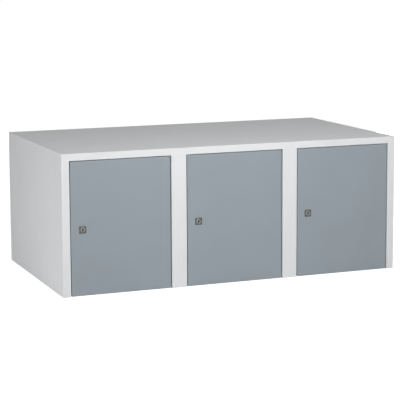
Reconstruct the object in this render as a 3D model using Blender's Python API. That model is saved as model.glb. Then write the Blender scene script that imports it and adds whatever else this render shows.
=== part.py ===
# Compartment cupboard: a welded carcass of folded sheet steel with a row of lockable doors.
# Units are metres, +Z is up and the doors face -Y. The origin is under the middle of the base.
# Every piece is modelled about its own seat and placed by its parent empty, location and rotation.
# The carcass empty stands on the plane of the front frame, each door empty on its hinge axis,
# and each lock empty on the axis of its key.

import math

import bmesh
import bpy
from mathutils import Matrix

# Overall sizes, over the outside of the sheet
cupboard_width = 0.900
cupboard_depth = 0.500
cupboard_height = 0.350
door_count = 3

# Sheet, folds and fits
carcass_sheet = 0.001
carcass_fold_radius = 0.0014
door_sheet = 0.001
door_fold_radius = 0.0018
seat_gap = 0.0003
merge_distance = 0.000003
cut_overrun = 0.004
fold_steps = 3
fold_angle = math.radians(30)

# Front frame
stile_width = 0.020
mullion_width = 0.040
rail_height = 0.018
stop_width = 0.008

# Floor, top, back and partitions
floor_height = 0.015
floor_lip = 0.014
top_rear_flange = 0.012
back_flange = 0.012
partition_front_flange = 0.024
partition_rear_flange = 0.014

# Doors
door_thickness = 0.015
door_lip = 0.012
free_gap = 0.0015
hinge_gap = 0.0025
top_gap = 0.0013
bottom_gap = 0.0012
stiffener_crown = 0.026
stiffener_flange = 0.012
stiffener_depth = 0.010
stiffener_end_space = 0.030

# Hinges: a pin at the top and the bottom of each door, hidden behind its front
axis_inset = 0.010
axis_setback = 0.008
pin_radius = 0.002
pin_head_radius = 0.0035
pin_head_height = 0.0018
pin_reach = 0.0012
washer_radius = 0.0035
lower_washer_thickness = 0.001
bracket_plate = 0.002
bracket_width = 0.007
bracket_nose = 0.0035
bracket_leg = 0.008
bracket_floor_space = 0.0028
bracket_fold_radius = 0.003
notch_space = 0.0012
notch_front_space = 0.0001
hinge_plate_sheet = 0.002
hinge_plate_width = 0.017
hinge_plate_tail = 0.0055
hinge_plate_leg = 0.016
pin_sides = 20

# Rubber buffers on the stop flange at each door's free side
buffer_height = 0.0044
buffer_radius = 0.003
buffer_neck_radius = 0.0015
buffer_barb_radius = 0.0021
buffer_barb_length = 0.003
buffer_inset = 0.0045
buffer_end_space = 0.045
buffer_crown_share = 0.8
buffer_shoulder_share = 0.75
buffer_sides = 16

# Locks
lock_inset = 0.0292
lock_height = 0.164
lock_face = 0.0175
lock_face_thickness = 0.0025
lock_face_bevel = 0.0012
lock_face_steps = 2
barrel_radius = 0.008
plug_radius = 0.006
plug_recess = 0.0005
key_slot_width = 0.002
key_slot_height = 0.0065
key_slot_depth = 0.012
nut_across_flats = 0.020
nut_thickness = 0.003
nut_sides = 6
cam_clearance = 0.0008
cam_thickness = 0.002
cam_hub_radius = 0.007
cam_tip_chamfer = 0.003
cam_overlap = 0.005
tail_side = 0.006
screw_radius = 0.0017
screw_length = 0.006
screw_hole_depth = 0.008
screw_head_radius = 0.0045
screw_head_height = 0.0022
screw_rim_share = 0.6
screw_crown_share = 0.7
cam_hub_steps = 12
lock_sides = 32

# Angle of a quarter turn
quarter = math.radians(90)

# Places that follow from the sizes above
rebate_depth = door_thickness + buffer_height + 2 * seat_gap
lock_proud = seat_gap + lock_face_thickness
front_plane = (lock_proud - cupboard_depth) / 2
mullion_count = door_count - 1
opening_width = (
    cupboard_width - 2 * stile_width - mullion_count * mullion_width
) / door_count
opening_top = cupboard_height - rail_height
frame_top = opening_top - 2 * seat_gap
door_width = opening_width - free_gap - hinge_gap
door_top = opening_top - top_gap
door_height = door_top - bottom_gap
stop_rear = rebate_depth + carcass_sheet
inner_width = cupboard_width - 2 * (carcass_sheet + seat_gap)
cam_front = stop_rear + cam_clearance
cam_rear = cam_front + cam_thickness
barrel_length = cam_front - seat_gap
bracket_bottom = bottom_gap + door_sheet + bracket_floor_space
bracket_top = bracket_bottom + bracket_plate
hinge_plate_bottom = bracket_top + lower_washer_thickness + 2 * seat_gap
hinge_plate_top = hinge_plate_bottom + hinge_plate_sheet


def opening_left(number):
    return stile_width - cupboard_width / 2 + number * (opening_width + mullion_width)


def opening_right(number):
    return opening_left(number) + opening_width


def hinge_x(number):
    return opening_right(number) - hinge_gap - axis_inset


for old in list(bpy.data.objects):
    bpy.data.objects.remove(old, do_unlink=True)


# Materials
def paint(name, colour, roughness, metallic):
    made = bpy.data.materials.new(name)
    made.use_nodes = True
    shader = made.node_tree.nodes["Principled BSDF"]
    shader.inputs["Base Color"].default_value = (*colour, 1)
    shader.inputs["Roughness"].default_value = roughness
    shader.inputs["Metallic"].default_value = metallic
    made.diffuse_color = (*colour, 1)
    return made


light_grey_paint = paint("light_grey_paint", (0.68, 0.69, 0.70), 0.5, 0)
blue_grey_paint = paint("blue_grey_paint", (0.28, 0.32, 0.35), 0.45, 0)
zinc_plate = paint("zinc_plate", (0.62, 0.62, 0.60), 0.35, 1)
dark_lock_metal = paint("dark_lock_metal", (0.09, 0.09, 0.09), 0.4, 1)
nickel = paint("nickel", (0.66, 0.60, 0.55), 0.3, 1)
white_nylon = paint("white_nylon", (0.80, 0.80, 0.76), 0.5, 0)
black_rubber = paint("black_rubber", (0.02, 0.02, 0.02), 0.8, 0)


# Placing
def empty(name, parent, location):
    made = bpy.data.objects.new(name, None)
    bpy.context.scene.collection.objects.link(made)
    made.parent = parent
    made.location = location
    return made


def piece(name, mesh, parent, material, location=(0, 0, 0), rotation=(0, 0, 0)):
    made = bpy.data.objects.new(name, mesh)
    bpy.context.scene.collection.objects.link(made)
    made.parent = parent
    made.location = location
    made.rotation_euler = rotation
    mesh.materials.append(material)
    return made


# Shapes
def finished(bm, name):
    bmesh.ops.recalc_face_normals(bm, faces=bm.faces)
    mesh = bpy.data.meshes.new(name)
    bm.to_mesh(mesh)
    bm.free()
    return mesh


def strip_mesh(name, path, length):
    """The middle surface of a folded strip: a path of corners in XY, drawn up along Z."""
    bm = bmesh.new()
    corners = [bm.verts.new((*corner, 0)) for corner in path]
    edges = [bm.edges.new(pair) for pair in zip(corners, corners[1:])]
    drawn = bmesh.ops.extrude_edge_only(bm, edges=edges)
    raised = [part for part in drawn["geom"] if isinstance(part, bmesh.types.BMVert)]
    bmesh.ops.translate(bm, verts=raised, vec=(0, 0, length))
    return finished(bm, name)


def pan_mesh(name, width, height, depth, lip, sheet):
    """The middle surface of a pan: a face at the top, four walls down and lips turned in."""
    bm = bmesh.new()
    half_x = (width - sheet) / 2
    half_y = (height - sheet) / 2
    ring = [(-half_x, -half_y), (half_x, -half_y), (half_x, half_y), (-half_x, half_y)]
    corners = [bm.verts.new((*corner, -sheet / 2)) for corner in ring]
    face = bm.faces.new(corners)
    walls = bmesh.ops.extrude_edge_only(bm, edges=list(face.edges))
    rim = [part for part in walls["geom"] if isinstance(part, bmesh.types.BMVert)]
    rim_edges = [
        part for part in walls["geom"]
        if isinstance(part, bmesh.types.BMEdge) and all(end in rim for end in part.verts)
    ]
    drop = depth - sheet / 2 if lip == 0 else depth - sheet
    bmesh.ops.translate(bm, verts=rim, vec=(0, 0, -drop))
    if lip > 0:
        turned_in = bmesh.ops.extrude_edge_only(bm, edges=rim_edges)
        for part in turned_in["geom"]:
            if isinstance(part, bmesh.types.BMVert):
                part.co.x -= math.copysign(lip - sheet / 2, part.co.x)
                part.co.y -= math.copysign(lip - sheet / 2, part.co.y)
    return finished(bm, name)


def turned_mesh(name, profile, sides):
    """A solid of revolution about Z from a closed profile of (radius, height) points."""
    bm = bmesh.new()
    corners = [bm.verts.new((radius, 0, height)) for radius, height in profile]
    edges = [bm.edges.new(pair) for pair in zip(corners, corners[1:] + corners[:1])]
    bmesh.ops.spin(
        bm, geom=corners + edges, cent=(0, 0, 0), axis=(0, 0, 1),
        angle=4 * quarter, steps=sides, use_merge=True,
    )
    bmesh.ops.remove_doubles(bm, verts=bm.verts, dist=merge_distance)
    mesh = finished(bm, name)
    mesh.shade_smooth()
    mesh.set_sharp_from_angle(angle=fold_angle)
    return mesh


def plate_mesh(name, outline, thickness):
    """A flat plate: an outline in XY, drawn down from Z = 0."""
    bm = bmesh.new()
    face = bm.faces.new([bm.verts.new((*corner, 0)) for corner in outline])
    drawn = bmesh.ops.extrude_face_region(bm, geom=[face])
    lowered = [part for part in drawn["geom"] if isinstance(part, bmesh.types.BMVert)]
    bmesh.ops.translate(bm, verts=lowered, vec=(0, 0, -thickness))
    return finished(bm, name)


def sheet_folds(target, radius, sheet):
    """Rounds the folds of a middle surface and gives it the thickness of the sheet."""
    bend = target.modifiers.new("bends", "BEVEL")
    bend.width = radius - sheet / 2
    bend.segments = fold_steps
    bend.limit_method = "ANGLE"
    bend.angle_limit = fold_angle
    thicken = target.modifiers.new("sheet", "SOLIDIFY")
    thicken.thickness = sheet
    thicken.offset = 0
    thicken.use_even_offset = True


def add_box(bm, low, high):
    middle = [(a + b) / 2 for a, b in zip(low, high)]
    size = [b - a for a, b in zip(low, high)]
    place = Matrix.Translation(middle) @ Matrix.Diagonal((*size, 1))
    bmesh.ops.create_cube(bm, size=1, matrix=place)


def add_round(bm, centre, radius, length, turn, sides):
    place = Matrix.Translation(centre) @ turn
    bmesh.ops.create_cone(
        bm, cap_ends=True, segments=sides, radius1=radius, radius2=radius,
        depth=length, matrix=place,
    )


def add_corner(bm, x_low, x_high):
    """What lies outside the round of the fold between the top and the front."""
    turns = [quarter * step / fold_steps for step in range(fold_steps + 1)]
    inside = carcass_fold_radius
    outline = [(-cut_overrun, cupboard_height + cut_overrun)]
    outline += [(-cut_overrun, cupboard_height - inside)]
    outline += [
        (inside - inside * math.cos(turn), cupboard_height - inside + inside * math.sin(turn))
        for turn in turns
    ]
    outline += [(inside, cupboard_height + cut_overrun)]
    face = bm.faces.new([bm.verts.new((x_low, *corner)) for corner in outline])
    drawn = bmesh.ops.extrude_face_region(bm, geom=[face])
    moved = [part for part in drawn["geom"] if isinstance(part, bmesh.types.BMVert)]
    bmesh.ops.translate(bm, verts=moved, vec=(x_high - x_low, 0, 0))


upright = Matrix.Identity(4)
front_to_back = Matrix.Rotation(quarter, 4, "X")


def shape_with(target, parent, bm, operation):
    """Cuts away, or joins on, the closed shapes drawn in bm, in the space of parent."""
    name = target.name + "_" + operation.lower()
    cutter = bpy.data.objects.new(name, finished(bm, name))
    bpy.context.scene.collection.objects.link(cutter)
    cutter.parent = parent
    cutter.hide_render = True
    cutter.display_type = "WIRE"
    change = target.modifiers.new(operation.lower(), "BOOLEAN")
    change.operation = operation
    change.solver = "EXACT"
    change.object = cutter


carcass = empty("carcass", None, (0, front_plane, 0))
half_width = cupboard_width / 2
half_sheet = carcass_sheet / 2
stop_middle = rebate_depth + half_sheet


# Side panels: skin, front stile, return and stop flange folded from one sheet
def side_panel(name, outward):
    path = [
        (outward * (half_width - half_sheet), cupboard_depth),
        (outward * (half_width - half_sheet), half_sheet),
        (outward * (half_width - stile_width + half_sheet), half_sheet),
        (outward * (half_width - stile_width + half_sheet), stop_middle),
        (outward * (half_width - stile_width - stop_width), stop_middle),
    ]
    mesh = strip_mesh(name, path, cupboard_height)
    made = piece(name, mesh, carcass, light_grey_paint)
    sheet_folds(made, carcass_fold_radius, carcass_sheet)
    bm = bmesh.new()
    # The return and the stop flange end under the top rail
    near = outward * (half_width - carcass_sheet - 2 * seat_gap)
    far = outward * (half_width - stile_width - stop_width - cut_overrun)
    add_box(
        bm,
        (min(near, far), carcass_sheet + seat_gap, frame_top),
        (max(near, far), stop_rear + cut_overrun, cupboard_height + cut_overrun),
    )
    shape_with(made, carcass, bm, "DIFFERENCE")
    # The corner follows the fold between the top and the rail
    bm = bmesh.new()
    edge = outward * (half_width + cut_overrun)
    add_corner(bm, min(edge, far), max(edge, far))
    shape_with(made, carcass, bm, "DIFFERENCE")
    return made


left_side = side_panel("side_panel_left", -1)
right_side = side_panel("side_panel_right", 1)


# Top panel: rear flange, skin, front rail, return and stop flange, drawn across the width
top_path = [
    (cupboard_depth - half_sheet, cupboard_height - top_rear_flange),
    (cupboard_depth - half_sheet, cupboard_height - half_sheet),
    (half_sheet, cupboard_height - half_sheet),
    (half_sheet, opening_top + half_sheet),
    (stop_middle, opening_top + half_sheet),
    (stop_middle, opening_top - stop_width),
]
top_panel = piece(
    "top_panel", strip_mesh("top_panel", top_path, inner_width), carcass, light_grey_paint,
    (-inner_width / 2, 0, 0), (quarter, 0, quarter),
)
sheet_folds(top_panel, carcass_fold_radius, carcass_sheet)
rail_cuts = bmesh.new()
for side in (-1, 1):
    inner = side * (half_width - stile_width - seat_gap)
    outer = side * (half_width + cut_overrun)
    # The rail lies between the stiles
    add_box(
        rail_cuts,
        (min(inner, outer), -cut_overrun, opening_top - cut_overrun),
        (max(inner, outer), carcass_sheet + 2 * seat_gap, cupboard_height + cut_overrun),
    )
    # Its stop flange lies between theirs
    flange_end = side * (half_width - stile_width - stop_width - seat_gap)
    add_box(
        rail_cuts,
        (min(flange_end, outer), rebate_depth - cut_overrun,
         opening_top - stop_width - cut_overrun),
        (max(flange_end, outer), stop_rear + cut_overrun, opening_top - seat_gap),
    )
for number in range(mullion_count):
    middle = opening_right(number) + mullion_width / 2
    reach = mullion_width / 2 + stop_width + seat_gap
    add_box(
        rail_cuts,
        (middle - reach, rebate_depth - cut_overrun, opening_top - stop_width - cut_overrun),
        (middle + reach, stop_rear + cut_overrun, opening_top - seat_gap),
    )
for number in range(door_count):
    add_round(
        rail_cuts, (hinge_x(number), axis_setback, opening_top + half_sheet),
        pin_radius + seat_gap, carcass_sheet + 2 * cut_overrun, upright, pin_sides,
    )
shape_with(top_panel, carcass, rail_cuts, "DIFFERENCE")


# Floor: a pan turned over, with lips to stand on
floor_front = stop_rear + seat_gap
floor_depth = cupboard_depth - floor_front
bottom_panel = piece(
    "bottom_panel",
    pan_mesh("bottom_panel", inner_width, floor_depth, floor_height, floor_lip, carcass_sheet),
    carcass, light_grey_paint, (0, floor_front + floor_depth / 2, floor_height),
)
sheet_folds(bottom_panel, carcass_fold_radius, carcass_sheet)


# Back: a pan open to the front, seated on the floor and under the top
back_bottom = floor_height + seat_gap
back_height = cupboard_height - carcass_sheet - seat_gap - back_bottom
back_inset = carcass_sheet + seat_gap
back_panel = piece(
    "back_panel",
    pan_mesh("back_panel", inner_width, back_height, back_flange, 0, carcass_sheet),
    carcass, light_grey_paint,
    (0, cupboard_depth - back_inset, back_bottom + back_height / 2), (-quarter, 0, 0),
)
sheet_folds(back_panel, carcass_fold_radius, carcass_sheet)


# Mullions: hat sections between the doors
def mullion(number):
    name = "mullion_" + str(number + 1)
    wall = mullion_width / 2 - half_sheet
    lip = mullion_width / 2 + stop_width
    path = [
        (-lip, stop_middle), (-wall, stop_middle), (-wall, half_sheet),
        (wall, half_sheet), (wall, stop_middle), (lip, stop_middle),
    ]
    made = piece(
        name, strip_mesh(name, path, frame_top), carcass, light_grey_paint,
        (opening_right(number) + mullion_width / 2, 0, 0),
    )
    sheet_folds(made, carcass_fold_radius, carcass_sheet)
    return made


# Partitions: a sheet behind each mullion, with a flange on the mullion and one on the back.
# The front flange turns to the hinge side, away from the next door's lock cam and buffers.
partition_bottom = back_bottom + carcass_fold_radius + seat_gap
partition_top = back_bottom + back_height - carcass_fold_radius - seat_gap
partition_front = stop_rear + seat_gap + half_sheet
partition_rear = cupboard_depth - back_inset - carcass_sheet - seat_gap - half_sheet


def partition(number):
    name = "partition_" + str(number + 1)
    path = [
        (-partition_front_flange, partition_front), (0, partition_front),
        (0, partition_rear), (partition_rear_flange, partition_rear),
    ]
    made = piece(
        name, strip_mesh(name, path, partition_top - partition_bottom), carcass,
        light_grey_paint, (opening_right(number) + mullion_width / 2, 0, partition_bottom),
    )
    sheet_folds(made, carcass_fold_radius, carcass_sheet)


mullions = [mullion(number) for number in range(mullion_count)]
for number in range(mullion_count):
    partition(number)


# Lower hinge bracket: a folded lug on the floor's front wall, with a hole for the pin
def hinge_bracket(number):
    name = "hinge_bracket_" + str(number + 1)
    plate_middle = bracket_bottom + bracket_plate / 2
    leg = floor_front - seat_gap - bracket_plate / 2
    path = [
        (axis_setback - bracket_nose, plate_middle), (leg, plate_middle),
        (leg, bracket_bottom + bracket_leg),
    ]
    made = piece(
        name, strip_mesh(name, path, bracket_width), carcass, light_grey_paint,
        (hinge_x(number) - bracket_width / 2, 0, 0), (quarter, 0, quarter),
    )
    sheet_folds(made, bracket_fold_radius, bracket_plate)
    bm = bmesh.new()
    add_round(
        bm, (hinge_x(number), axis_setback, plate_middle), pin_radius + seat_gap,
        bracket_plate + 2 * cut_overrun, upright, pin_sides,
    )
    shape_with(made, carcass, bm, "DIFFERENCE")


# Buffers: a rubber head on the stop flange, with its neck and barb through a hole
buffer_places = {
    "lower_buffer_": bottom_gap + buffer_end_space,
    "upper_buffer_": door_top - buffer_end_space,
}


def buffer(name, x, z):
    barb_start = -carcass_sheet - seat_gap
    barb_end = barb_start - buffer_barb_length
    profile = [
        (0, buffer_height + seat_gap),
        (buffer_radius * buffer_crown_share, buffer_height + seat_gap),
        (buffer_radius, (buffer_height + seat_gap) * buffer_shoulder_share),
        (buffer_radius, seat_gap),
        (buffer_neck_radius, seat_gap),
        (buffer_neck_radius, barb_start),
        (buffer_barb_radius, barb_start),
        (buffer_neck_radius, barb_end),
        (0, barb_end),
    ]
    piece(
        name, turned_mesh(name, profile, buffer_sides), carcass, black_rubber,
        (x, rebate_depth, z), (quarter, 0, 0),
    )


for number in range(door_count):
    hinge_bracket(number)
    carrier = left_side if number == 0 else mullions[number - 1]
    flange_holes = bmesh.new()
    for prefix, z in buffer_places.items():
        x = opening_left(number) + buffer_inset
        buffer(prefix + str(number + 1), x, z)
        add_round(
            flange_holes, (x, stop_middle, z), buffer_neck_radius + seat_gap,
            carcass_sheet + 2 * cut_overrun, front_to_back, buffer_sides,
        )
    shape_with(carrier, carcass, flange_holes, "DIFFERENCE")


# Doors: everything from here on is placed from the door's hinge axis
door_free_x = axis_inset - door_width
lock_x = door_free_x + lock_inset
door_inner_y = door_sheet - axis_setback


def door_panel(number, door):
    name = "door_panel_" + str(number + 1)
    made = piece(
        name,
        pan_mesh(name, door_width, door_height, door_thickness, door_lip, door_sheet),
        door, blue_grey_paint,
        (axis_inset - door_width / 2, -axis_setback, bottom_gap + door_height / 2),
        (quarter, 0, 0),
    )
    sheet_folds(made, door_fold_radius, door_sheet)
    bm = bmesh.new()
    # Hole for the lock's barrel
    add_round(
        bm, (lock_x, door_inner_y, lock_height), barrel_radius + seat_gap,
        door_sheet + 2 * cut_overrun, front_to_back, lock_sides,
    )
    # Hole for the upper pin
    add_round(
        bm, (0, 0, door_top), pin_radius + seat_gap, door_sheet + 2 * cut_overrun,
        upright, pin_sides,
    )
    # Notch that the hinge bracket passes through, from shut to fully open
    notch_bottom = bottom_gap + door_fold_radius + seat_gap
    notch_top = bracket_bottom + bracket_leg + notch_space
    add_box(
        bm,
        (-bracket_width / 2 - notch_space, door_inner_y + notch_front_space, notch_bottom),
        (axis_inset + cut_overrun, door_thickness - axis_setback + cut_overrun, notch_top),
    )
    shape_with(made, door, bm, "DIFFERENCE")


def door_stiffener(number, door):
    name = "door_stiffener_" + str(number + 1)
    seat = door_inner_y + seat_gap + door_sheet / 2
    crown = seat + stiffener_depth
    wall = stiffener_crown / 2
    path = [
        (-wall - stiffener_flange, seat), (-wall, seat), (-wall, crown),
        (wall, crown), (wall, seat), (wall + stiffener_flange, seat),
    ]
    made = piece(
        name, strip_mesh(name, path, door_height - 2 * stiffener_end_space), door,
        blue_grey_paint,
        (axis_inset - door_width / 2, 0, bottom_gap + stiffener_end_space),
    )
    sheet_folds(made, door_fold_radius, door_sheet)


def hinge_plate(number, door):
    """A folded plate behind the door's front that rests on the bracket and holds the pin."""
    name = "hinge_plate_" + str(number + 1)
    middle = hinge_plate_bottom + hinge_plate_sheet / 2
    leg = door_inner_y + seat_gap + hinge_plate_sheet / 2
    path = [(hinge_plate_tail, middle), (leg, middle), (leg, middle + hinge_plate_leg)]
    made = piece(
        name, strip_mesh(name, path, hinge_plate_width), door, blue_grey_paint,
        (-hinge_plate_width / 2, 0, 0), (quarter, 0, quarter),
    )
    sheet_folds(made, bracket_fold_radius, hinge_plate_sheet)
    bm = bmesh.new()
    add_round(
        bm, (0, 0, middle), pin_radius + seat_gap, hinge_plate_sheet + 2 * cut_overrun,
        upright, pin_sides,
    )
    shape_with(made, door, bm, "DIFFERENCE")


def hinge_pin(name, door, head_low, tip):
    """A headed pin: the head is at the door and the shank runs to the tip, up or down."""
    head_high = head_low + pin_head_height
    shank_start = head_low if tip < head_low else head_high
    head_far = head_high if tip < head_low else head_low
    profile = [
        (0, tip), (pin_radius, tip), (pin_radius, shank_start),
        (pin_head_radius, shank_start), (pin_head_radius, head_far), (0, head_far),
    ]
    piece(name, turned_mesh(name, profile, pin_sides), door, zinc_plate)


def washer(name, door, bottom, thickness):
    hole = pin_radius + seat_gap
    profile = [
        (hole, bottom), (washer_radius, bottom),
        (washer_radius, bottom + thickness), (hole, bottom + thickness),
    ]
    piece(name, turned_mesh(name, profile, pin_sides), door, white_nylon)


# Locks: modelled about Z with the key side up, then turned to face the front
def lock_housing(number, lock):
    name = "lock_housing_" + str(number + 1)
    bm = bmesh.new()
    half = lock_face / 2
    add_box(bm, (-half, -half, seat_gap), (half, half, lock_proud))
    made = piece(name, finished(bm, name), lock, dark_lock_metal)
    edge = made.modifiers.new("edge", "BEVEL")
    edge.width = lock_face_bevel
    edge.segments = lock_face_steps
    barrel = bmesh.new()
    barrel_top = (seat_gap + lock_proud) / 2
    add_round(
        barrel, (0, 0, (barrel_top - barrel_length) / 2), barrel_radius,
        barrel_top + barrel_length, upright, lock_sides,
    )
    shape_with(made, lock, barrel, "UNION")
    bore = bmesh.new()
    add_round(
        bore, (0, 0, (lock_proud - barrel_length) / 2), plug_radius + seat_gap,
        lock_proud + barrel_length + 2 * cut_overrun, upright, lock_sides,
    )
    shape_with(made, lock, bore, "DIFFERENCE")


def lock_nut(number, lock):
    name = "lock_nut_" + str(number + 1)
    corner = nut_across_flats / 2 / math.cos(2 * quarter / nut_sides)
    turns = [4 * quarter * side / nut_sides for side in range(nut_sides)]
    outline = [(corner * math.cos(turn), corner * math.sin(turn)) for turn in turns]
    made = piece(
        name, plate_mesh(name, outline, nut_thickness), lock, zinc_plate,
        (0, 0, -door_sheet - seat_gap),
    )
    bm = bmesh.new()
    add_round(
        bm, (0, 0, -door_sheet - nut_thickness / 2), barrel_radius + seat_gap,
        nut_thickness + 2 * cut_overrun, upright, lock_sides,
    )
    shape_with(made, lock, bm, "DIFFERENCE")


def lock_cylinder(number, lock):
    name = "lock_cylinder_" + str(number + 1)
    face = lock_proud - plug_recess
    bm = bmesh.new()
    add_round(
        bm, (0, 0, (face - barrel_length) / 2), plug_radius, face + barrel_length,
        upright, lock_sides,
    )
    made = piece(name, finished(bm, name), lock, nickel)
    tail = bmesh.new()
    half = tail_side / 2
    add_box(tail, (-half, -half, -cam_rear), (half, half, -barrel_length / 2))
    shape_with(made, lock, tail, "UNION")
    holes = bmesh.new()
    add_box(
        holes,
        (-key_slot_width / 2, -key_slot_height / 2, face - key_slot_depth),
        (key_slot_width / 2, key_slot_height / 2, face + cut_overrun),
    )
    add_round(
        holes, (0, 0, (screw_hole_depth - cut_overrun) / 2 - cam_rear),
        screw_radius + seat_gap, screw_hole_depth + cut_overrun, upright, pin_sides,
    )
    shape_with(made, lock, holes, "DIFFERENCE")


def lock_cam(number, lock):
    name = "lock_cam_" + str(number + 1)
    reach = lock_inset + free_gap - stop_width + cam_overlap
    outline = [
        (cam_hub_radius * math.cos(angle), cam_hub_radius * math.sin(angle))
        for angle in (
            2 * quarter * (1 + step / cam_hub_steps) for step in range(cam_hub_steps + 1)
        )
    ]
    outline += [
        (cam_hub_radius, reach - cam_tip_chamfer), (cam_hub_radius - cam_tip_chamfer, reach),
        (cam_tip_chamfer - cam_hub_radius, reach), (-cam_hub_radius, reach - cam_tip_chamfer),
    ]
    made = piece(
        name, plate_mesh(name, outline, cam_thickness), lock, zinc_plate, (0, 0, -cam_front),
    )
    bm = bmesh.new()
    half = tail_side / 2 + seat_gap
    add_box(
        bm, (-half, -half, -cam_rear - cut_overrun), (half, half, cut_overrun - cam_front)
    )
    shape_with(made, lock, bm, "DIFFERENCE")


def cam_screw(number, lock):
    name = "cam_screw_" + str(number + 1)
    seat = -cam_rear - seat_gap
    profile = [
        (0, seat + screw_length), (screw_radius, seat + screw_length),
        (screw_radius, seat), (screw_head_radius, seat),
        (screw_head_radius, seat - screw_head_height * screw_rim_share),
        (screw_head_radius * screw_crown_share, seat - screw_head_height),
        (0, seat - screw_head_height),
    ]
    piece(name, turned_mesh(name, profile, pin_sides), lock, zinc_plate)


for number in range(door_count):
    label = str(number + 1)
    door = empty("door_axis_" + label, carcass, (hinge_x(number), axis_setback, 0))
    lock = empty("lock_axis_" + label, door, (lock_x, -axis_setback, lock_height))
    lock.rotation_euler = (quarter, 0, 0)
    door_panel(number, door)
    door_stiffener(number, door)
    hinge_plate(number, door)
    hinge_pin(
        "lower_hinge_pin_" + label, door, hinge_plate_top + seat_gap,
        bracket_bottom - pin_reach,
    )
    upper_head = door_top - door_sheet - seat_gap - pin_head_height
    hinge_pin(
        "upper_hinge_pin_" + label, door, upper_head,
        opening_top + carcass_sheet + pin_reach,
    )
    washer(
        "lower_hinge_washer_" + label, door, bracket_top + seat_gap, lower_washer_thickness
    )
    washer(
        "upper_hinge_washer_" + label, door, door_top + seat_gap, top_gap - 2 * seat_gap
    )
    lock_housing(number, lock)
    lock_nut(number, lock)
    lock_cylinder(number, lock)
    lock_cam(number, lock)
    cam_screw(number, lock)
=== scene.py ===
# %% [markdown]
# # A sheet-steel compartment cupboard
# This lesson dresses a low steel unit with three lockable doors. The fixed frame brings every
# real size, place and hinge. The cells below fold the sheets, turn the pins and locks, paint and
# plate them, and light them as in a plain studio.

# %% Load the frame
import math

import bmesh
import bpy
from mathutils import Matrix, Vector


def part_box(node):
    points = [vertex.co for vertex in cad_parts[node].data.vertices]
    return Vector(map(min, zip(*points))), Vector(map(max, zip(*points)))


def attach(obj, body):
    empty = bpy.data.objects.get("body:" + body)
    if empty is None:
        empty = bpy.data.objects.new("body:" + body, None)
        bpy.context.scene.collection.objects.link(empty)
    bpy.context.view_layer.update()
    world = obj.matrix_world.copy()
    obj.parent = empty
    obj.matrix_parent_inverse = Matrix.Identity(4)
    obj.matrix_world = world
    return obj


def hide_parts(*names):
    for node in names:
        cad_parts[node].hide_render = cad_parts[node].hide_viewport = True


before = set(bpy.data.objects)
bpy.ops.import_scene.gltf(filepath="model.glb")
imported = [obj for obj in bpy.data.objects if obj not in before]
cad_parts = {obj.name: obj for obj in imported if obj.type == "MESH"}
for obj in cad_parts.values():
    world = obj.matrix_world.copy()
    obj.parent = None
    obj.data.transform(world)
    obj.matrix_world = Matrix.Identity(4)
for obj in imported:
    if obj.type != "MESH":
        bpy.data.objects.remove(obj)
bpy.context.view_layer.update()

# %% [markdown]
# The camera stands before the unit's left end, a little above it, and looks down to the right.
# Its long lens keeps the rear corner close behind the front one, as in a catalogue picture. Its
# place, turn and lens were found by fitting the unit's edges to the picture, and a vertical
# shift keeps the upright edges nearly parallel.

# %% Camera
quarter = math.radians(90)
picture_width = 416
sensor_width = 36
focal_pixels = 1490.8
horizon_row = 166
camera_place = (-1.4290, -3.6428, 0.8128)
camera_yaw = math.radians(21.774)
camera_pitch = math.radians(7.974)
camera_roll = math.radians(-0.26)

camera_data = bpy.data.cameras.new("catalogue_camera")
camera = bpy.data.objects.new("catalogue_camera", camera_data)
bpy.context.scene.collection.objects.link(camera)
camera_data.sensor_width = sensor_width
camera_data.lens = focal_pixels / picture_width * sensor_width
camera_data.shift_y = (horizon_row - picture_width / 2) / picture_width
camera_turn = (
    Matrix.Rotation(-camera_yaw, 4, "Z")
    @ Matrix.Rotation(quarter - camera_pitch, 4, "X")
    @ Matrix.Rotation(camera_roll, 4, "Z")
)
camera.matrix_world = Matrix.Translation(camera_place) @ camera_turn
bpy.context.scene.camera = camera
bpy.context.scene.view_settings.view_transform = "Standard"
print("lens:", round(camera_data.lens, 1), "mm")

# %% [markdown]
# Each piece starts as a primitive of its real size, added with nothing else selected, and its
# place is applied at once, so that the numbers of its mesh are real places. Edges and faces are
# then chosen in code by where they are, as one would click on them.

# %% Adding a primitive and choosing its parts
def add(kind, name, spread=(1, 1, 1), **how):
    """Adds a primitive alone, with its size and place in its mesh."""
    bpy.ops.object.select_all(action="DESELECT")
    kind(**how)
    made = bpy.context.object
    made.name = name
    made.data.name = name
    made.scale = spread
    bpy.ops.object.transform_apply()
    return made


def take(piece):
    """Makes one piece the selected and active one."""
    bpy.ops.object.select_all(action="DESELECT")
    piece.select_set(True)
    bpy.context.view_layer.objects.active = piece


def enter(mode):
    bpy.ops.object.mode_set(mode=mode)


def pick(kind, wanted):
    """Selects only the wanted edges or faces of the piece that is being edited."""
    bpy.ops.mesh.select_mode(type=kind)
    bpy.ops.mesh.select_all(action="DESELECT")
    data = bpy.context.object.data
    mesh = bmesh.from_edit_mesh(data)
    parts = mesh.edges if kind == "EDGE" else mesh.faces
    found = [part for part in parts if wanted(part)]
    for part in found:
        part.select_set(True)
    mesh.select_flush_mode()
    bmesh.update_edit_mesh(data)
    return len(found)


def middle(part):
    return sum((corner.co for corner in part.verts), Vector()) / len(part.verts)


fold_angle = math.radians(30)


def is_fold(edge):
    return len(edge.link_faces) == 2 and edge.calc_face_angle() > fold_angle


def bevel_edges(wanted, width, steps):
    """Bevels the wanted edges of the piece that is being edited, and counts them."""
    count = pick("EDGE", wanted)
    bpy.ops.mesh.bevel(offset=width, offset_type="OFFSET", segments=steps, affect="EDGES")
    return count


def bevel_piece(piece, wanted, width, steps):
    """Does the same to a piece that isn't being edited."""
    take(piece)
    enter("EDIT")
    count = bevel_edges(wanted, width, steps)
    enter("OBJECT")
    return count


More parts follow.
